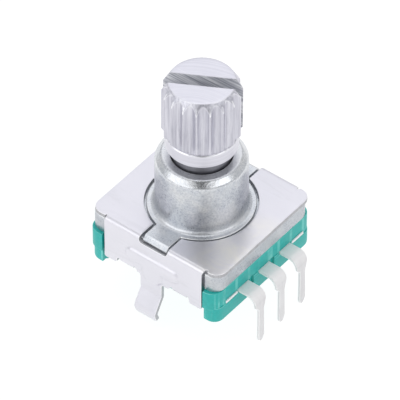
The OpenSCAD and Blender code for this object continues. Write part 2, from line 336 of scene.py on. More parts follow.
def tidy(ob, angle=32.0):
    bm = bmesh.new()
    bm.from_mesh(ob.data)
    bmesh.ops.remove_doubles(bm, verts=bm.verts, dist=3e-7)
    bmesh.ops.dissolve_degenerate(bm, edges=bm.edges, dist=2e-7)
    bmesh.ops.recalc_face_normals(bm, faces=bm.faces)
    bm.to_mesh(ob.data)
    bm.free()
    ob.data.shade_smooth()
    ob.data.set_sharp_from_angle(angle=math.radians(angle))
    return ob


def even_normals(ob):
    """lets the large faces set the normals, so flat walls beside rounded rims stay flat"""
    m = ob.modifiers.new("n", "WEIGHTED_NORMAL")
    m.keep_sharp, m.weight = True, 50
    me = bpy.data.meshes.new_from_object(ob.evaluated_get(bpy.context.evaluated_depsgraph_get()))
    old = ob.data
    ob.modifiers.clear()
    ob.data = me
    bpy.data.meshes.remove(old)


def run(path, start, s):
    """point and upper normal on such a path, at distance s along it"""
    (x, z), a = start, 0.0      # a = 0 runs outwards, 90 runs down
    for k, st in enumerate(path):
        last = k == len(path) - 1
        if st[0] == "L":
            d = s if last else min(s, st[1])
            x, z = x + d * math.cos(a), z - d * math.sin(a)
            s -= d
        else:
            r, turn = st[1], math.radians(st[2])
            full = r * abs(turn)
            d = min(s, full)
            da = math.copysign(d / r, turn)
            sg = 1 if turn > 0 else -1
            cx, cz = x - sg * r * math.sin(a), z - sg * r * math.cos(a)
            a += da
            x, z = cx + sg * r * math.sin(a), cz + sg * r * math.cos(a)
            s -= d
        if s <= 1e-9:
            break
    return x, z, math.sin(a), math.cos(a)


# ---------------------------------------------------------------- frame: a flat blank, folded

RM = FOLD - SHEET / 2
U0 = HALF_W - FOLD
U1 = U0 + RM * math.pi / 2            # end of the fold
Z_FOLD = TOP - FOLD


def u_at(z):
    """distance along the blank of a height on the side plate"""
    return U1 + (Z_FOLD - z)


LEG = (("L", U0), ("A", RM, 90), ("L", Z_FOLD + 0.33 - 0.084), ("A", 0.3, -31.0), ("L", 1.262),
       ("A", 0.45, 52.8), ("L", 9))
TAB_Z = 1.35
TAB = (("L", U0), ("A", RM, 90), ("L", Z_FOLD - TAB_Z), ("A", 0.225, 90), ("L", 9))
PLAIN = (("L", U0), ("A", RM, 90), ("L", 9))
LEG_W = 1.0
LEG_Y = 0.17
NOTCH = 1.31
TAB_Y, TAB_H = 2.5, 0.6


def rib(v, z):
    d = math.hypot(max(abs(v) - 1.9, 0), z - 2.65)
    if z < 2.65:
        d = min(d, math.hypot(max(abs(v) - 0.35, 0), 0) + max(0, 1.35 - z) * 0.9)
    return 0.21 * smooth((0.72 - d) / 0.3)


def place_frame(u, v, h):
    s = 1 if u >= 0 else -1
    U = abs(u)
    if v > SIDE + 0.06 or v < -SIDE - 0.24:
        return (u, v, TOP - SHEET / 2 + h)
    if abs(v - LEG_Y) < LEG_W + 0.12:
        path = LEG
    elif abs(abs(v) - TAB_Y) < TAB_H + 0.12:
        path = TAB
    else:
        path = PLAIN
    x, z, nx, nz = run(path, (0, TOP - SHEET / 2), U)
    if U > U1 + 0.2 and z > 0.9:
        h += rib(v, z)
    return (s * (x + nx * h), v, z + nz * h)


def frame_outline():
    """one quarter of the blank, mirrored into four: u outwards, v along the side plate"""
    return clean(quarter(1, 1) + quarter(-1, 1)[::-1] + quarter(-1, -1) + quarter(1, -1)[::-1])


def quarter(sx, sy):
    q = []
    leg = LEG_W + sy * LEG_Y
    low = u_at(1.0)
    deep = u_at(0.79)
    slit = u_at(1.32)
    tip = u_at(0) + 0.33 - 0.084 + 0.3 * math.radians(31.2) + 1.282 + 0.45 * math.radians(53) + 0.55
    def arc(cx, cy, r, a0, a1, n=6):
        return [(cx + r * math.cos(math.radians(lerp(a0, a1, k / n))), cy + r * math.sin(math.radians(lerp(a0, a1, k / n)))) for k in range(n + 1)]
    # leg: tip, corner, side, root fillet
    q += arc(tip - 0.22, leg - 0.22, 0.22, 0, 90)
    q += [(low + 0.18, leg)]
    q += [(low + 0.05, leg + 0.05), (low, leg + 0.12)]
    # slit, tab, slit
    a, b = TAB_Y - TAB_H, TAB_Y + TAB_H
    q += [(low, a - 0.44), (low - 0.08, a - 0.38), (slit + 0.08, a - 0.30)]
    q += [(slit, a - 0.20), (slit, a - 0.08), (slit + 0.08, a)]
    q += [(slit + 0.75, a), (slit + 0.9, a + 0.12), (slit + 0.9, b - 0.12), (slit + 0.75, b)]
    q += [(slit + 0.1, b), (slit, b + 0.08), (slit, b + 0.2), (slit + 0.1, b + 0.28)]
    q += [(low + 0.06, b + 0.30), (deep, b + 0.42)]
    # deeper end, corner of the side plate
    q += arc(deep - 0.2, SIDE - 0.2, 0.2, 0, 90)
    # relief notch at the end of the fold
    if sy > 0:
        q += [(U0 + 0.14, SIDE), (U0 + 0.06, SIDE + 0.005), (U0 + 0.04, SIDE + 0.025), (U0 + 0.07, SIDE + 0.045)]
        q += [(CORNER - 0.05, SIDE + 0.05), (CORNER, SIDE + 0.1)]
    else:
        q += [(U1, SIDE), (U0 + 0.3, SIDE + 0.05), (U0 + 0.1, SIDE + 0.13), (U0 + 0.03, SIDE + 0.2), (U0 + 0.05, SIDE + 0.29)]
        q += [(U0 + 0.12, SIDE + 0.34), (CORNER - 0.03, SIDE + 0.36), (CORNER, SIDE + 0.42)]
    q += arc(CORNER - 0.9, HALF_L - 0.9, 0.9, 0, 90, 12)
    return [(sx * x, sy * y) for x, y in q]


def frame_hole():
    """the round hole with its two ear notches, which run on through the folds"""
    R, end = 4.28, u_at(4.22)
    a0 = math.asin(NOTCH / R)
    q = []
    for k in range(49):
        a = lerp(a0, math.pi - a0, k / 48)
        q.append((R * math.cos(a), R * math.sin(a)))
    left = [(-end + 0.3, NOTCH)]
    for k in range(1, 7):
        a = math.radians(90 + 90 * k / 6)
        left.append((-end + 0.3 + 0.3 * math.cos(a), NOTCH - 0.3 + 0.3 * math.sin(a)))
    q += left
    out = list(q)
    out += [(x, -y) for x, y in reversed(left)]
    low = [(x, -y) for x, y in q[:49]]
    out += [(x, y) for x, y in reversed(low)]
    right = [(-x, y) for x, y in left]
    out += [(x, -y) for x, y in right]
    out += [(x, y) for x, y in reversed(right)]
    return clean(out)


def bend_lines():
    us = [U0 + (U1 - U0) * k / 9 for k in range(10)]
    k1 = U1 + Z_FOLD + 0.33 - 0.084
    us_leg = [k1 + 0.3 * math.radians(31.0) * k / 6 for k in range(7)]
    k2 = us_leg[-1] + 1.262
    us_leg += [k2 + 0.45 * math.radians(52.8) * k / 9 for k in range(10)]
    us_tab = [u_at(TAB_Z) + 0.225 * math.pi / 2 * k / 8 for k in range(9)]
    return us, us_leg, us_tab


US, US_LEG, US_TAB = bend_lines()


def frame_grid():
    g = []
    for s in (1, -1):
        for u in US:
            g += [(s * u, v * 0.12) for v in range(-38, 39)]
        for u in US_LEG:
            g += [(s * u, LEG_Y + v * 0.1) for v in range(-9, 10)]
        for u in US_TAB:
            for w in (1, -1):
                g += [(s * u, w * (TAB_Y + v * 0.1)) for v in range(-6, 7)]
        u = U1 + 0.15
        while u < u_at(0.85):
            g += [(s * u, v * 0.09) for v in range(-50, 51)]
            u += 0.09
        u = u_at(0.7)
        while u < US_LEG[-1] + 0.5:
            if all(abs(u - q) > 0.06 for q in US_LEG):
                g += [(s * u, LEG_Y + v * 0.2) for v in range(-4, 5)]
            u += 0.15
    g += [(x * 0.4, y * 0.4) for x in range(-13, 14) for y in range(-15, 16)]
    return g


def frame_step(u, v):
    U = abs(u)
    if U0 - 0.05 < U < U1 + 0.05 or any(abs(U - q) < 0.08 for q in US_LEG):
        return 0.05
    if U > u_at(1.45) and abs(v) > LEG_W - 0.2:
        return 0.06
    return 0.12


frame_ob = slab("frame_folded", frame_outline(), [frame_hole()], SHEET, 0.045, place_frame,
                step=frame_step, grid=frame_grid(), angle=50, cut_edge=True)

# ---------------------------------------------------------------- bushing


def flat(z, dx=0.0, dy=0.0):
    return lambda u, v, h: (u + dx, v + dy, z + h)


def stepped_outline(half, y0, y1, r, side_x, side_y, n=10):
    """round-cornered rectangle from -y0 to y1, drawn in behind the side plates"""
    def half_of(end):
        q = [(side_x, 0.0), (side_x, side_y - 0.05), (side_x + 0.05, side_y), (half, side_y)]
        for k in range(n + 1):
            a = math.radians(90 * k / n)
            q.append((half - r + r * math.cos(a), end - r + r * math.sin(a)))
        return q
    q, p = half_of(y1), half_of(y0)
    return clean(q + [(-x, y) for x, y in reversed(q)] + [(-x, -y) for x, y in p] + [(x, -y) for x, y in reversed(p)])


SIDE_IN = HALF_W - SHEET - 0.02
t = PLATE1 - PLATE0
bushing_ob = slab("bushing_casting", stepped_outline(CORNER - 0.01, -b_lo[1], b_hi[1], 0.88, SIDE_IN, SIDE + 0.14),
                  [], t, 0.09, flat((PLATE0 + PLATE1) / 2), step=0.4, r_low=0.05)
barrel_ob = lathe("barrel", fillet([
    (0, PLATE1 - 0.6), (4.1, PLATE1 - 0.6), (4.1, FLANGE, 0.07), (3.5, FLANGE, 0.38),
    (3.5, BARREL - 0.5, 0.5), (3.0, BARREL, 0.32), (0, BARREL)], 10)[:-1] + [(0, BARREL)], n=192)
# ears: their upper outer edges slope inwards under the folds' line
EAR = [(3.0, 4.0), (5.43, 4.0), (5.45, 4.29), (5.60, 4.35), (5.61, 4.44), (5.27, FLANGE), (3.0, FLANGE)]
ear_ob = slab("ear", EAR, [], 2.25, 0.05, lambda u, v, h: (u, h, v), step=0.2)
ear2_ob = slab("ear2", EAR, [], 2.25, 0.05, lambda u, v, h: (-u, h, v), step=0.2)
boolean(bushing_ob, barrel_ob, "UNION")
boolean(bushing_ob, ear_ob, "UNION")
boolean(bushing_ob, ear2_ob, "UNION")
bore = lathe("bore", [(0, -1), (2.3, -1), (2.3, BARREL - 0.12), (2.31, BARREL - 0.09), (2.37, BARREL - 0.02), (2.40, BARREL + 0.01), (2.5, BARREL + 0.6), (0, BARREL + 0.6)], n=128)
boolean(bushing_ob, bore)
cavity = lathe("cavity", fillet([(0, PLATE0 - 1), (4.6, PLATE0 - 1), (4.6, 3.75, 0.1), (0, 3.75)], 4), n=128)
boolean(bushing_ob, cavity)
tidy(bushing_ob, 35)
even_normals(bushing_ob)

# ---------------------------------------------------------------- shaft


TEETH = 18
SLOT_DIR = -60.0
SLOT_W = 1.05
SLOT_Z = SHAFT_TOP - 4.65
SERR0 = SHAFT_TOP - 5.0


def tooth_r(a):
    """radius over the serration: narrow crests, broad hollow flutes"""
    pitch = 360 / TEETH
    x = ((a - 10) / pitch + 0.5) % 1.0 - 0.5        # 0 at a crest
    x = abs(x) * 2                                   # 1 in a flute's middle
    x = max(0.0, x - 0.07) / 0.93
    return 3.0 - 0.38 * (1 - (1 - x) ** 2.0) ** 0.9


def shaft_mesh():
    n = 20 * TEETH
    ang = [360 * k / n for k in range(n)]
    low = [(1.1, 0.8), (1.2, 0.9), (1.2, 1.9), (1.6, 1.9), (1.6, 3.1), (2.66, 3.1), (2.7, 3.14), (2.7, 3.56), (2.66, 3.6),
           (2.25, 3.6), (2.25, BARREL + 0.98), (2.27, BARREL + 1.0), (2.68, BARREL + 1.0),
           (2.72, BARREL + 1.02), (2.745, BARREL + 1.06), (2.75, BARREL + 1.12), (2.75, SERR0 - 0.3), (2.75, SERR0 - 0.12)]
    verts = [(0, 0, low[0][1])]
    faces, rows = [], []
    flat_y = 1.25
    for i, (r, z) in enumerate(low):
        row = []
        for a in ang:
            x, y = r * math.cos(math.radians(a)), r * math.sin(math.radians(a))
            if abs(r - 1.6) < 1e-6:
                y = max(-flat_y, min(flat_y, y))
            row.append(len(verts))
            verts.append((x, y, z))
        rows.append(row)
    cols = []
    for a in ang:
        r = tooth_r(a)
        foot = min(r, 2.66)
        zc = SHAFT_TOP - (r - 2.5) * 0.8 / 0.5
        k = 0.30 * (r - foot) / 0.34
        c = [(2.735, SERR0 - 0.09), (foot + 0.03, SERR0 - 0.03), (foot, SERR0 - 0.015)]
        c += [(foot, SERR0 + 0.02), (r - 0.03 * (r > foot), SERR0 + 0.03 + k), (r, SERR0 + 0.08 + k)]
        c += [(r, lerp(SERR0 + 0.48, zc - 0.12, s / 5)) for s in range(6)]
        c += [(r, zc - 0.05), (r - 0.022, zc + 0.035)]
        c += [(lerp(r - 0.02, 2.53, 0.5), lerp(zc + 0.045, SHAFT_TOP - 0.05, 0.5)), (2.53, SHAFT_TOP - 0.05), (2.50, SHAFT_TOP - 0.015), (2.46, SHAFT_TOP)]
        c += [(2.2, SHAFT_TOP), (1.2, SHAFT_TOP)]
        cols.append(c)
    for lev in range(len(cols[0])):
        row = []
        for a, c in zip(ang, cols):
            r, z = c[lev]
            row.append(len(verts))
            verts.append((r * math.cos(math.radians(a)), r * math.sin(math.radians(a)), z))
        rows.append(row)
    top = len(verts)
    verts.append((0, 0, SHAFT_TOP))
    for k in range(n):
        q = (k + 1) % n
        faces.append([0, rows[0][q], rows[0][k]])
        for a, b in zip(rows, rows[1:]):
            faces.append([a[k], a[q], b[q], b[k]])
        faces.append([rows[-1][k], rows[-1][q], top])
    return verts, faces


v, f = shaft_mesh()
shaft_ob = finish_mesh("shaft_turned", v, f, 30)
# slot cutter: a box whose upper edges open out to break the slot's edges
w = SLOT_W / 2
prof = [(-w, SLOT_Z), (w, SLOT_Z), (w, SHAFT_TOP - 0.03), (w + 0.08, SHAFT_TOP + 0.05), (w + 0.08, SHAFT_TOP + 1), (-w - 0.08, SHAFT_TOP + 1), (-w - 0.08, SHAFT_TOP + 0.05), (-w, SHAFT_TOP - 0.03)]
d = Vector((math.cos(math.radians(SLOT_DIR)), math.sin(math.radians(SLOT_DIR)), 0))
nrm = Vector((-d.y, d.x, 0))
cv = [tuple(d * s + nrm * a + Vector((0, 0, z))) for s in (-4, 4) for a, z in prof]
m = len(prof)
cf = [list(range(m))[::-1], list(range(m, 2 * m))] + [[i, (i + 1) % m, m + (i + 1) % m, m + i] for i in range(m)]
boolean(shaft_ob, finish_mesh("slot", cv, cf))
tidy(shaft_ob, 28)

# ---------------------------------------------------------------- wafer

WX, W_FRONT, W_BACK = w_hi[0], -w_lo[1], w_hi[1]
SEAM = 1.18
wafer_ob = slab("wafer_moulding", stepped_outline(WX, W_FRONT - 0.08, W_BACK, 1.0, SIDE_IN - 0.01, SIDE + 0.17), [], PLATE0 - SEAM, 0.06,
                flat((PLATE0 + SEAM) / 2), step=0.3, r_low=0.05)
lowr = slab("low", stepped_outline(WX - 0.13, W_FRONT, W_BACK - 0.13, 0.87, SIDE_IN - 0.14, SIDE + 0.2), [], SEAM + 0.3, 0.05,
            flat((SEAM + 0.3) / 2 - 0.15), step=0.3, r_low=0.24, rings=6)
boolean(wafer_ob, lowr, "UNION")
# terminal side: the lower half rises to the height of the strips, in one long block
block = slab("block", [(x, y - W_FRONT + 0.607) for x, y in round_rect(9.56, 1.2, 0.1, 4)], [], STRIP - 0.9, 0.06,
             flat((STRIP + 0.9) / 2), step=0.3)
boolean(wafer_ob, block, "UNION")
# the underside is set back behind the side plates
for sx in (-1, 1):
    x0, x1 = sorted((sx * (HALF_W - 1.12), sx * 8))
    boolean(wafer_ob, box_mesh((x0, -SIDE - 0.17, -1), (x1, SIDE + 0.17, 0.95)))
boolean(wafer_ob, lathe("cav", [(0, STRIP), (4.85, STRIP), (4.85, 4), (0, 4)], n=128))
boolean(wafer_ob, lathe("pilot", [(0, 0.7), (1.26, 0.7), (1.26, 2.4), (0, 2.4)], n=64))
boolean(wafer_ob, lathe("relief", fillet([(0, -1), (2.4, -1), (2.4, 0.3, 0.08), (0, 0.3)], 3), n=96))
for x in (-2.5, 0.0, 2.5):
    boolean(wafer_ob, box_mesh((x - 0.71, -W_FRONT - 1, STRIP - TERM_T - 0.02), (x + 0.71, -W_FRONT + 0.9, STRIP + 0.02)))
# gaps in the block between the terminals
for x in (-1.50, 0.98):
    boolean(wafer_ob, box_mesh((x - 0.22, -W_FRONT - 1, 0.95), (x + 0.22, -W_FRONT + 0.2, 1.72)))
for node in ("lead_stub_left", "lead_stub_right"):
    lo, hi = node_box(node)
    boolean(wafer_ob, box_mesh((lo[0] - 0.01, -W_FRONT - 1, lo[2] - 0.09), (hi[0] + 0.01, -W_FRONT + 0.22, lo[2] + 0.01)))
for sx in (-1, 1):
    for sy in (-1, 1):
        x0, x1 = sorted((sx * 4.45, sx * 6.5))
        boolean(wafer_ob, box_mesh((x0, sy * TAB_Y - 0.82, -1), (x1, sy * TAB_Y + 0.82, 1.32)))
tidy(wafer_ob, 35)
even_normals(wafer_ob)

# ---------------------------------------------------------------- terminals

BR = 0.8 - TERM_T / 2
T_PATH = (("L", REACH - 0.8 - 3.2), ("A", BR, 90), ("L", 9))
T_BEND = REACH - 0.8 - 3.2
T_DOWN = T_BEND + BR * math.pi / 2          # z = STRIP - 0.8 here


def t_at(z):
    return T_DOWN + (STRIP - 0.8 - z)


def t_bend(z):
    return T_BEND + BR * math.acos((z - STRIP + 0.8) / BR)


def terminal(name, x0):
    L = [(0, -0.62), (T_BEND - 0.2, -0.665), (t_bend(1.15), -0.665), (t_at(0.54), -0.57), (t_at(0.47), -0.54), (t_at(0.42), -0.49),
         (t_at(0.24), -0.32), (t_at(0.12), -0.25), (t_at(-0.04), -0.222),
         (t_at(PIN_LOW + 0.40), -0.222), (t_at(PIN_LOW + 0.18), -0.17), (t_at(PIN_LOW + 0.05), -0.07)]
    R = [(t_at(PIN_LOW), 0.04), (t_at(PIN_LOW + 0.04), 0.18), (t_at(PIN_LOW + 0.2), 0.31), (t_at(PIN_LOW + 0.45), 0.435),
         (t_at(PIN_LOW + 0.62), 0.455), (t_at(-1.2), 0.41), (t_at(-0.1), 0.378), (t_at(0.1), 0.40), (t_at(0.38), 0.475),
         (t_at(0.7), 0.555), (t_bend(1.0), 0.625), (t_bend(1.3), 0.665), (T_BEND - 0.1, 0.67), (0, 0.62)]

    def place(u, v, h):
        y, z, ny, nz = run(T_PATH, (0, STRIP - TERM_T / 2), max(u, 0))
        return (x0 + v, -3.2 - y - ny * h, z + nz * h)
    us = [T_BEND + (T_DOWN - T_BEND) * k / 12 for k in range(13)]
    grid = [(u, v * 0.13) for u in us for v in range(-5, 6)]
    grid += [(u * 0.2, v * 0.16) for u in range(1, 40) for v in range(-4, 5) if not us[0] - 0.05 < u * 0.2 < us[-1] + 0.05]
    return slab(name, L + R, [], TERM_T, 0.05, place,
                step=lambda u, v: 0.06 if T_BEND - 0.1 < u < T_DOWN + 0.1 else 0.14, grid=grid, angle=45, rings=4)


terms = {n: terminal("pin_" + n[-1], x) for n, x in (("terminal_a", -2.5), ("terminal_c", 0.0), ("terminal_b", 2.5))}

# ---------------------------------------------------------------- lead-frame ends

stubs = {}
for node, x in (("lead_stub_left", -3.75), ("lead_stub_right", 4.15)):
    lo, hi = node_box(node)
    cx = (lo[0] + hi[0]) / 2
    o = slab("cut_" + node, round_rect(hi[0] - lo[0], hi[1] - lo[1], 0.05, 3), [], TERM_T, 0.025,
             flat((lo[2] + hi[2]) / 2, cx, (lo[1] + hi[1]) / 2), step=0.2)
    stubs[node] = o

# ---------------------------------------------------------------- materials


class Nodes:
    def __init__(self, name, metallic=0.0, rough=0.5, **sockets):
        self.m = bpy.data.materials.new(name)
        self.m.use_nodes = True
        self.t = self.m.node_tree
        self.b = self.t.nodes["Principled BSDF"]
        self.b.inputs["Metallic"].default_value = metallic
        self.b.inputs["Roughness"].default_value = rough
        for k, val in sockets.items():
            self.b.inputs[k.replace("_", " ")].default_value = val
        self.co = self.t.nodes.new("ShaderNodeTexCoord").outputs["Object"]

    def scaled(self, sx, sy, sz, rot=(0, 0, 0)):
        n = self.t.nodes.new("ShaderNodeMapping")
        n.inputs["Scale"].default_value = (sx, sy, sz)
        n.inputs["Rotation"].default_value = rot
        self.t.links.new(self.co, n.inputs["Vector"])
        return n.outputs["Vector"]

    def noise(self, scale, detail=4.0, rough=0.55, vec=None, dist=0.0):
        n = self.t.nodes.new("ShaderNodeTexNoise")
        n.inputs["Scale"].default_value = scale
        n.inputs["Detail"].default_value = detail
        n.inputs["Roughness"].default_value = rough
        n.inputs["Distortion"].default_value = dist
        self.t.links.new(vec or self.co, n.inputs["Vector"])
        return n.outputs["Fac"]

    def ramp(self, fac, stops):
        n = self.t.nodes.new("ShaderNodeValToRGB")
        e = n.color_ramp.elements
        while len(e) < len(stops):
            e.new(0.5)
        for el, (p, c) in zip(e, stops):
            el.position = p
            el.color = (*c, 1) if len(c) == 3 else c
        self.t.links.new(fac, n.inputs["Fac"])
        return n.outputs["Color"]

    def rng(self, fac, a, b, lo=0.3, hi=0.7):
        n = self.t.nodes.new("ShaderNodeMapRange")
        n.inputs["From Min"].default_value = lo
        n.inputs["From Max"].default_value = hi
        n.inputs["To Min"].default_value = a
        n.inputs["To Max"].default_value = b
        self.t.links.new(fac, n.inputs["Value"])
        return n.outputs["Result"]

    def math(self, op, a, b):
        n = self.t.nodes.new("ShaderNodeMath")
        n.operation = op
        for i, x in enumerate((a, b)):
            if isinstance(x, (int, float)):
                n.inputs[i].default_value = x
            else:
                self.t.links.new(x, n.inputs[i])
        return n.outputs[0]

    def mix(self, fac, a, b, mode="MIX"):
        n = self.t.nodes.new("ShaderNodeMix")
        n.data_type = "RGBA"
        n.blend_type = mode
        for key, x in (("Factor", fac), (6, a), (7, b)):
            sock = n.inputs[0] if key == "Factor" else n.inputs[key]
            if isinstance(x, (int, float)):
                sock.default_value = x
            elif isinstance(x, tuple):
                sock.default_value = (*x, 1)
            else:
                self.t.links.new(x, sock)
        return n.outputs[2]

    def axis(self, name):
        n = self.t.nodes.new("ShaderNodeSeparateXYZ")
        self.t.links.new(self.co, n.inputs[0])
        return n.outputs[name]

    def edges(self, scale=900, lo=0.35, hi=0.55):
        """rubbed edges and painted edge highlights: the mesh's per-face mark of tight convex edges, broken up by a
        noise
        """
        n = self.t.nodes.new("ShaderNodeAttribute")
        n.attribute_name = "wear_and_highlight"
        return self.math("MULTIPLY", n.outputs["Fac"], self.rng(self.noise(scale, 3), 0.15, 1.0, lo, hi))

    def color(self, sock):
        self.t.links.new(sock, self.b.inputs["Base Color"])

    def rough(self, sock):
        self.t.links.new(sock, self.b.inputs["Roughness"])

    def bump(self, height, dist, strength=1.0):
        n = self.t.nodes.new("ShaderNodeBump")
        n.inputs["Strength"].default_value = strength
        n.inputs["Distance"].default_value = dist
        self.t.links.new(height, n.inputs["Height"])
        prev = self.b.inputs["Normal"].links
        if prev:
            self.t.links.new(prev[0].from_socket, n.inputs["Normal"])
        self.t.links.new(n.outputs["Normal"], self.b.inputs["Normal"])
        return n


def mat_plated():
    k = Nodes("plated_steel_looks", 0.8, 0.3)
    big = k.noise(260, 3)
    fine = k.noise(2600, 4, 0.6)
    roll = k.noise(700, 3, 0.6, k.scaled(1, 0.05, 0.3))
    scuff = k.noise(1500, 5, 0.7, k.scaled(0.5, 0.1, 1), 0.5)
    c = k.ramp(big, [(0.3, (0.735, 0.73, 0.785)), (0.7, (0.785, 0.775, 0.83))])
    c = k.mix(k.rng(scuff, 0.0, 0.35, 0.56, 0.74), c, (0.60, 0.60, 0.63))
    # painted reflection: the front part of the top plate is tinted warm and lighter, where the barrel is reflected
    near = k.math("MULTIPLY", k.rng(k.axis("Y"), 0.75, 0.0, -0.0052, -0.0022), k.rng(k.axis("Z"), 0.0, 1.0, 0.00450, 0.00472))
    near = k.math("MULTIPLY", near, k.rng(k.axis("X"), 1.0, 0.0, -0.0005, 0.0022))
    c = k.mix(k.math("MULTIPLY", near, k.rng(k.noise(420, 5, 0.65, dist=0.7), 0.25, 1.0, 0.38, 0.60)), c, (0.91, 0.885, 0.81))
    # rubbed edges and painted highlight: tight convex edges mixed lighter
    c = k.mix(k.edges(), c, (0.93, 0.93, 0.95))
    k.color(c)
    k.rough(k.math("ADD", k.rng(big, 0.29, 0.37), k.rng(roll, -0.02, 0.06)))
    k.bump(fine, 0.0000012)
    k.bump(roll, 0.0000015)
    return k.m


def mat_sheared_edge_and_shade():
    """sheared edge of the sheet: dull, with fine lines across its thickness; its dark grey base is also painted shade
    for these faces
    """
    k = Nodes("sheared_edge_and_painted_shade_looks", 1.0, 0.45)
    cloud = k.noise(900, 4)
    lines = k.noise(5200, 2, 0.6, k.scaled(1, 1, 0.08))
    # painted shade on top of the edge's own duller tone: a dark grey base
    c = k.ramp(cloud, [(0.3, (0.41, 0.41, 0.43)), (0.7, (0.53, 0.53, 0.55))])
    c = k.mix(0.35, c, k.ramp(lines, [(0.35, (0.30, 0.30, 0.32)), (0.65, (0.66, 0.66, 0.69))]))
    k.color(c)
    k.rough(k.rng(lines, 0.38, 0.55))
    k.bump(lines, 0.000006)
    return k.m


def mat_zinc():
    k = Nodes("die_cast_zinc_looks", 0.85, 0.45)
    cloud = k.noise(360, 5, 0.62, dist=0.8)
    mid = k.noise(1300, 4, 0.6)
    grain = k.noise(6500, 3, 0.7)
    streak = k.noise(800, 4, 0.6, k.scaled(1, 1, 0.35), 0.4)
    c = k.ramp(cloud, [(0.30, (0.38, 0.415, 0.47)), (0.48, (0.565, 0.595, 0.65)), (0.68, (0.75, 0.755, 0.755))])
    c = k.mix(0.3, c, k.ramp(mid, [(0.36, (0.44, 0.47, 0.52)), (0.64, (0.78, 0.79, 0.80))]))
    c = k.mix(0.30, c, k.ramp(grain, [(0.36, (0.24, 0.27, 0.32)), (0.62, (0.86, 0.87, 0.88))]))
    c = k.mix(k.rng(streak, 0.0, 0.45, 0.55, 0.72), c, (0.80, 0.80, 0.79))
    z = k.axis("Z")
    # painted light and shade by height: the casting's sides below the sheet are darker as painted shade, the flange a
    # little lighter and the barrel's chamfered mouth and flat brim lighter as painted light; the mouth is also smoother
    plate = k.rng(z, 0.36, 0.0, 0.0041, 0.00445)
    flange_painted_light = k.math("MULTIPLY", k.rng(z, 0.0, 0.3, 0.0046, 0.0047), k.rng(z, 1.0, 0.0, 0.0049, 0.0054))
    mouth_painted_light = k.math("MULTIPLY", k.rng(z, 0.0, 1.0, 0.00915, 0.00930), k.rng(z, 1.0, 0.0, 0.00970, 0.00979))
    brim_painted_light = k.rng(z, 0.0, 0.5, 0.00974, 0.00979)
    # painted shade: the casting's sides below the sheet mixed darker
    c = k.mix(plate, c, (0.36, 0.385, 0.42))
    # painted light: the flange and its fillet mixed lighter
    c = k.mix(flange_painted_light, c, (0.86, 0.88, 0.91))
    # painted light: the barrel's chamfered mouth mixed lighter
    c = k.mix(k.math("MULTIPLY", mouth_painted_light, 0.3), c, (0.84, 0.85, 0.86))
    # painted light: the flat brim at the barrel's top mixed lighter where it lies in shadow
    c = k.mix(brim_painted_light, c, (0.90, 0.91, 0.93))
    # rubbed edges and painted highlight: tight convex edges mixed lighter
    c = k.mix(k.edges(), c, (0.88, 0.89, 0.90))
    k.color(c)
    k.rough(k.math("SUBTRACT", k.math("ADD", k.rng(cloud, 0.25, 0.36), k.rng(grain, -0.05, 0.07)), k.math("MULTIPLY", mouth_painted_light, 0.11)))
    k.bump(cloud, 0.00004)
    k.bump(mid, 0.000018)
    k.bump(grain, 0.000008)
    return k.m


def mat_shaft():
    k = Nodes("drawn_aluminium_looks", 1.0, 0.32)
    cloud = k.noise(420, 4)
    drawn = k.noise(6500, 4, 0.7, k.scaled(1, 1, 0.03))
    nick = k.noise(1800, 4, 0.7, k.scaled(1, 1, 0.3))
    fine = k.noise(9000, 2)
    c = k.ramp(cloud, [(0.3, (0.58, 0.575, 0.64)), (0.7, (0.66, 0.655, 0.72))])
    c = k.mix(0.5, c, k.ramp(drawn, [(0.34, (0.32, 0.32, 0.38)), (0.52, (0.63, 0.63, 0.69)), (0.66, (0.88, 0.88, 0.93))]))
    c = k.mix(k.rng(nick, 0.0, 0.4, 0.57, 0.72), c, (0.42, 0.42, 0.48))
    # rubbed edges and painted highlight: tight convex edges mixed lighter
    c = k.mix(k.edges(), c, (0.93, 0.93, 0.96))
    k.color(c)
    k.rough(k.math("ADD", k.rng(cloud, 0.32, 0.40), k.rng(drawn, -0.05, 0.08)))
    k.bump(drawn, 0.00002)
    k.bump(fine, 0.000003)
    return k.m


def mat_ring():
    """turned surface: fine lines around the axis"""
    k = Nodes("turned_ring_looks", 1.0, 0.34)
    cloud = k.noise(420, 4)
    lines = k.noise(6000, 3, 0.6, k.scaled(0.02, 0.02, 1))
    c = k.ramp(cloud, [(0.3, (0.66, 0.655, 0.715)), (0.7, (0.72, 0.715, 0.775))])
    c = k.mix(0.2, c, k.ramp(lines, [(0.35, (0.52, 0.52, 0.58)), (0.65, (0.84, 0.84, 0.90))]))
    # rubbed edges and painted highlight: tight convex edges mixed lighter
    c = k.mix(k.edges(), c, (0.93, 0.93, 0.96))
    k.color(c)
    k.rough(k.math("ADD", k.rng(cloud, 0.32, 0.38), k.rng(lines, -0.03, 0.04)))
    k.bump(lines, 0.000002)
    return k.m


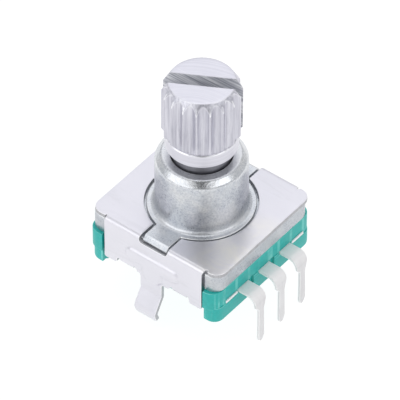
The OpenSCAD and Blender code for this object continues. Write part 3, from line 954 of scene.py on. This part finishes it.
def mat_face():
    """the shaft's end face, with the fine arcs of the parting tool"""
    k = Nodes("faced_end_looks", 1.0, 0.32)
    cloud = k.noise(380, 4)
    move = k.t.nodes.new("ShaderNodeMapping")
    move.inputs["Location"].default_value = (0.0045, 0.0022, -SHAFT_TOP * MM)
    k.t.links.new(k.co, move.inputs["Vector"])
    far = k.t.nodes.new("ShaderNodeVectorMath")
    far.operation = "LENGTH"
    k.t.links.new(move.outputs["Vector"], far.inputs[0])
    n = k.t.nodes.new("ShaderNodeTexNoise")
    n.noise_dimensions = "1D"
    n.inputs["Scale"].default_value = 5200
    n.inputs["Detail"].default_value = 3
    k.t.links.new(far.outputs["Value"], n.inputs["W"])
    arcs = n.outputs["Fac"]
    c = k.ramp(cloud, [(0.3, (0.66, 0.655, 0.72)), (0.7, (0.73, 0.725, 0.79))])
    c = k.mix(0.16, c, k.ramp(arcs, [(0.35, (0.50, 0.50, 0.56)), (0.65, (0.88, 0.88, 0.93))]))
    # rubbed edges and painted highlight: tight convex edges mixed lighter
    c = k.mix(k.edges(), c, (0.93, 0.93, 0.96))
    k.color(c)
    k.rough(k.math("ADD", k.rng(cloud, 0.30, 0.36), k.rng(arcs, -0.03, 0.04)))
    k.bump(arcs, 0.0000012)
    return k.m


def mat_journal_grease_and_shade():
    """the journal under the head, dulled by grease and darkened further as painted shade under the head"""
    k = Nodes("greased_and_shaded_journal_looks", 0.8, 0.4)
    cloud = k.noise(700, 4)
    rings_ = k.noise(3500, 3, 0.6, k.scaled(0.05, 0.05, 1))
    # grease and painted shade: a dark grey base
    k.color(k.mix(0.4, k.ramp(cloud, [(0.3, (0.17, 0.17, 0.19)), (0.7, (0.25, 0.25, 0.28))]),
                  k.ramp(rings_, [(0.35, (0.11, 0.11, 0.13)), (0.65, (0.34, 0.34, 0.37))])))
    k.rough(k.rng(cloud, 0.32, 0.5))
    k.bump(rings_, 0.000004)
    return k.m


def mat_slot():
    k = Nodes("milled_slot_looks", 0.55, 0.5)
    # fine slanting lines left by the slitting cutter
    turn = k.t.nodes.new("ShaderNodeMapping")
    turn.inputs["Rotation"].default_value = (0, math.radians(-29), 0)
    k.t.links.new(k.scaled(1, 1, 1, (0, 0, math.radians(-SLOT_DIR))), turn.inputs["Vector"])
    n = k.t.nodes.new("ShaderNodeMapping")
    n.inputs["Scale"].default_value = (0.05, 0.05, 1.0)
    k.t.links.new(turn.outputs["Vector"], n.inputs["Vector"])
    lines = k.noise(6200, 2, 0.5, n.outputs["Vector"])
    cloud = k.noise(900, 3)
    c = k.mix(0.75, k.ramp(cloud, [(0.3, (0.72, 0.74, 0.80)), (0.7, (0.82, 0.83, 0.89))]),
              k.ramp(lines, [(0.38, (0.36, 0.37, 0.42)), (0.60, (0.99, 0.99, 1.0))]))
    k.color(c)
    k.rough(k.rng(lines, 0.42, 0.6))
    k.bump(lines, 0.000009)
    return k.m


def mat_resin():
    k = Nodes("teal_resin_looks", 0.0, 0.42)
    k.b.inputs["Specular IOR Level"].default_value = 0.45
    k.b.inputs["Subsurface Weight"].default_value = 0.05
    k.b.inputs["Subsurface Radius"].default_value = (0.0004, 0.0006, 0.0006)
    cloud = k.noise(380, 4, 0.55)
    speck = k.noise(5200, 3, 0.6)
    c = k.ramp(cloud, [(0.3, (0.009, 0.41, 0.372)), (0.7, (0.015, 0.475, 0.435))])
    c = k.mix(0.18, c, k.ramp(speck, [(0.38, (0.010, 0.36, 0.33)), (0.62, (0.05, 0.60, 0.56))]))
    # rubbed edges and painted highlight: tight convex edges mixed lighter
    c = k.mix(k.edges(), c, (0.13, 0.60, 0.55))
    k.color(c)
    k.rough(k.math("ADD", k.rng(cloud, 0.36, 0.46), k.rng(speck, -0.03, 0.05)))
    k.bump(speck, 0.000004)
    k.bump(cloud, 0.000008)
    return k.m


def mat_tin(name="tin_plate_looks"):
    k = Nodes(name, 0.12, 0.45)
    cloud = k.noise(600, 4)
    fine = k.noise(5000, 3)
    roll = k.noise(2200, 3, 0.6, k.scaled(1, 0.06, 0.06))
    c = k.ramp(cloud, [(0.3, (0.74, 0.73, 0.74)), (0.7, (0.82, 0.81, 0.82))])
    c = k.mix(k.rng(roll, 0.0, 0.4, 0.5, 0.7), c, (0.64, 0.63, 0.65))
    # painted light: the terminals mixed lighter above about 1 mm height
    c = k.mix(k.rng(k.axis("Z"), 0.0, 0.85, 0.0009, 0.0014), c, (0.985, 0.975, 0.975))
    # rubbed edges and painted highlight: tight convex edges mixed lighter
    c = k.mix(k.edges(), c, (0.93, 0.93, 0.93))
    k.color(c)
    k.rough(k.math("ADD", k.rng(cloud, 0.40, 0.50), k.rng(roll, -0.03, 0.05)))
    k.bump(roll, 0.000004)
    k.bump(fine, 0.0000018)
    return k.m


def mat_strip(name, lo, hi, rough):
    k = Nodes(name, 1.0, rough)
    cloud = k.noise(600, 4)
    roll = k.noise(2500, 3, 0.6, k.scaled(0.08, 1, 1))
    k.color(k.mix(k.rng(roll, 0.0, 0.5, 0.5, 0.7), k.ramp(cloud, [(0.3, lo), (0.7, hi)]), tuple(min(1, c * 1.15) for c in hi)))
    k.rough(k.math("ADD", k.rng(cloud, rough - 0.04, rough + 0.06), k.rng(roll, -0.03, 0.04)))
    k.bump(roll, 0.000002)
    return k.m


def mat_black():
    k = Nodes("rotor_plastic_looks", 0.0, 0.42)
    cloud = k.noise(500, 4)
    speck = k.noise(5000, 3)
    k.color(k.mix(k.rng(speck, 0.0, 0.4, 0.55, 0.75), k.ramp(cloud, [(0.3, (0.012, 0.012, 0.014)), (0.7, (0.022, 0.022, 0.025))]), (0.05, 0.05, 0.055)))
    k.rough(k.rng(speck, 0.34, 0.52))
    k.bump(speck, 0.000004)
    return k.m


M_FRAME, M_ZINC, M_SHAFT, M_SLOT = mat_plated(), mat_zinc(), mat_shaft(), mat_slot()
M_RESIN, M_TIN, M_BLACK = mat_resin(), mat_tin(), mat_black()
M_SHEARED_EDGE_AND_SHADE, M_JOURNAL_GREASE_AND_SHADE, M_RING, M_FACE = mat_sheared_edge_and_shade(), mat_journal_grease_and_shade(), mat_ring(), mat_face()
M_BRONZE = mat_strip("phosphor_bronze_looks", (0.62, 0.40, 0.22), (0.74, 0.50, 0.30), 0.26)
M_CONTACT = mat_strip("contact_plate_looks", (0.74, 0.62, 0.38), (0.84, 0.72, 0.48), 0.22)
M_WASHER = mat_strip("washer_looks", (0.58, 0.38, 0.22), (0.70, 0.48, 0.30), 0.34)


def wear_and_highlight(ob, lo=5.0, hi=14.0):
    """marks the faces of tight convex edges, which the materials paint lighter as wear and as painted highlight: how
    fast the normal turns over a face, in 1/mm
    """
    me = ob.data
    nv = [0.0] * (3 * len(me.vertices))
    me.vertex_normals.foreach_get("vector", nv)
    out = []
    for p in me.polygons:
        vs = list(p.vertices)
        k = 0.0
        for i in range(len(vs)):
            a, b = vs[i - 1], vs[i]
            d = (me.vertices[a].co - me.vertices[b].co) / MM
            n = Vector(nv[3 * a:3 * a + 3]) - Vector(nv[3 * b:3 * b + 3])
            l2 = max(d.length_squared, 1e-8)
            k = max(k, n.dot(d) / l2)          # positive where the surface is convex
        out.append(min(1.0, max(0.0, (k - lo) / (hi - lo))))
    at = me.attributes.new("wear_and_highlight", "FLOAT", "FACE")
    at.data.foreach_set("value", out)


def piece(ob, node, body, mat, slot, *more, lo=5.0, hi=14.0):
    wear_and_highlight(ob, lo, hi)
    indices = [p.material_index for p in ob.data.polygons]
    ob.data.materials.clear()
    for mt in (mat, *more):
        ob.data.materials.append(mt)
    ob.data.polygons.foreach_set("material_index", [min(i, len(more)) for i in indices])
    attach(ob, body)
    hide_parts(node)


piece(frame_ob, "frame", "housing", M_FRAME, "plated_steel", M_SHEARED_EDGE_AND_SHADE)
piece(bushing_ob, "bushing", "housing", M_ZINC, "die_cast_zinc")
piece(wafer_ob, "wafer", "housing", M_RESIN, "wafer_plastic")
for n, o in terms.items():
    piece(o, n, "housing", M_TIN, "terminal_metal")
for n, o in stubs.items():
    piece(o, n, "housing", M_TIN, "terminal_metal")
for p in shaft_ob.data.polygons:
    c = p.center / MM
    across = abs(c.x * nrm.x + c.y * nrm.y)
    p.material_index = 0
    if c.z > SLOT_Z - 0.02 and across < w + 0.01 and (abs(p.normal.dot(nrm)) > 0.98 and abs(across - w) < 0.01 or c.z < SLOT_Z + 0.02 and p.normal.z > 0.9):
        p.material_index = 1
    elif 3.6 < c.z < BARREL + 0.99 and math.hypot(c.x, c.y) < 2.3:
        p.material_index = 2
    elif BARREL < c.z < SERR0 - 0.02 and math.hypot(c.x, c.y) > 2.3:
        p.material_index = 3
    elif c.z > SHAFT_TOP - 0.005 and p.normal.z > 0.9:
        p.material_index = 4
piece(shaft_ob, "shaft", "rotor", M_SHAFT, "shaft_aluminium", M_SLOT, M_JOURNAL_GREASE_AND_SHADE, M_RING, M_FACE, lo=1.6, hi=4.5)
# the long crests get less of the lighter edge wear and painted highlight than the edges of the end's chamfer
at = shaft_ob.data.attributes["wear_and_highlight"].data
for p in shaft_ob.data.polygons:
    h = p.center.z / MM
    if h < SHAFT_TOP - 0.95 and not SERR0 - 0.13 < h < SERR0 - 0.02:
        at[p.index].value *= 0.12
    elif h > SHAFT_TOP - 0.07:
        at[p.index].value *= 0.4

CAD_LOOKS = {"click_spring": M_BRONZE, "brush_a": M_BRONZE, "brush_c": M_BRONZE, "brush_b": M_BRONZE,
             "thrust_washer": M_WASHER, "rotor": M_BLACK, "code_plate": M_CONTACT}
for n, mt in CAD_LOOKS.items():
    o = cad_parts[n]
    for s in o.material_slots:
        s.material = mt

# ---------------------------------------------------------------- stage, light and camera

scene = bpy.context.scene
Z_FLOOR = CAD_BOX[0].z - 0.00002


def mat_floor():
    k = Nodes("pale_floor", 0.0, 0.6)
    n = k.noise(40, 3)
    k.color(k.ramp(n, [(0.3, (0.14, 0.14, 0.14)), (0.7, (0.16, 0.16, 0.16))]))
    k.b.inputs["Specular IOR Level"].default_value = 0.1
    # an evenly lit table, so the ground is white right up to the part
    k.b.inputs["Emission Color"].default_value = (1, 1, 1, 1)
    k.b.inputs["Emission Strength"].default_value = 0.92
    return k.m


me = bpy.data.meshes.new("floor")
me.from_pydata([(-2, -2, Z_FLOOR), (2, -2, Z_FLOOR), (2, 2, Z_FLOOR), (-2, 2, Z_FLOOR)], [], [(0, 1, 2, 3)])
floor = bpy.data.objects.new("floor", me)
scene.collection.objects.link(floor)
me.materials.append(mat_floor())
floor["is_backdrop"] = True

world = bpy.data.worlds.new("studio")
scene.world = world
world.use_nodes = True
bg = world.node_tree.nodes["Background"]
bg.inputs["Color"].default_value = (0.97, 0.98, 1.0, 1)
# the room is evenly light, and darker on the side where the photographer stands
wt = world.node_tree
co = wt.nodes.new("ShaderNodeTexCoord")
dot = wt.nodes.new("ShaderNodeVectorMath")
dot.operation = "DOT_PRODUCT"
dot.inputs[1].default_value = (-0.562, -0.44, 0.70)
wt.links.new(co.outputs["Generated"], dot.inputs[0])
room = wt.nodes.new("ShaderNodeMapRange")
room.interpolation_type = "SMOOTHSTEP"
for key, val in (("From Min", 0.78), ("From Max", 0.98), ("To Min", 0.66), ("To Max", 0.08)):
    room.inputs[key].default_value = val
wt.links.new(dot.outputs["Value"], room.inputs["Value"])
wt.links.new(room.outputs["Result"], bg.inputs["Strength"])


def softbox(name, at, size, radiance, color=(1, 1, 1), to=(0, 0, 0.006)):
    """a rectangular light of even brightness; its power follows from radiance and size"""
    L = bpy.data.lights.new(name, "AREA")
    L.shape, L.size, L.size_y = "RECTANGLE", size[0], size[1]
    L.energy, L.color = radiance * math.pi * size[0] * size[1], color
    o = bpy.data.objects.new(name, L)
    o.location = at
    o.rotation_euler = (Vector(to) - Vector(at)).to_track_quat("-Z", "Y").to_euler()
    scene.collection.objects.link(o)
    return o


# camera of the reference view
AZ, EL, ROLL = math.radians(-51.94), math.radians(44.44), math.radians(0.25)
right = Vector((math.cos(AZ), math.sin(AZ), 0))
upv = Vector((-math.sin(AZ) * math.sin(EL), math.cos(AZ) * math.sin(EL), math.cos(EL)))
back = Vector((math.sin(AZ) * math.cos(EL), -math.cos(AZ) * math.cos(EL), math.sin(EL)))
r_ = right * math.cos(ROLL) + upv * math.sin(ROLL)
u_ = -right * math.sin(ROLL) + upv * math.cos(ROLL)
cam_at = (Vector((0, 0, 6.3)) - 0.1196 * r_ - 1.0205 * u_ + 401.4 * back) * MM
cam = bpy.data.cameras.new("camera")
cam.sensor_width = 36.0
cam.lens = 5423.0 * 36.0 / 400.0
cam.clip_start, cam.clip_end = 0.01, 20
cam_ob = bpy.data.objects.new("camera", cam)
cam_ob.matrix_world = Matrix(((r_.x, u_.x, back.x, cam_at.x), (r_.y, u_.y, back.y, cam_at.y), (r_.z, u_.z, back.z, cam_at.z), (0, 0, 0, 1)))
scene.collection.objects.link(cam_ob)
scene.camera = cam_ob

softbox("overhead", (0.06, 0.05, 0.55), (0.44, 0.44), 0.7)
softbox("back_box", (0.36, 0.28, 0.42), (0.50, 0.40), 0.52, (0.97, 0.97, 1.0))
softbox("left_box", (-0.462, 0.115, 0.285), (0.70, 0.40), 0.95)
softbox("front_box", (-0.052, -0.43, 0.339), (0.48, 0.22), 1.2)

scene.view_settings.view_transform = "Standard"

lo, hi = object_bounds()
{"cad": [list(CAD_BOX[0]), list(CAD_BOX[1])], "visual": [list(lo), list(hi)]}
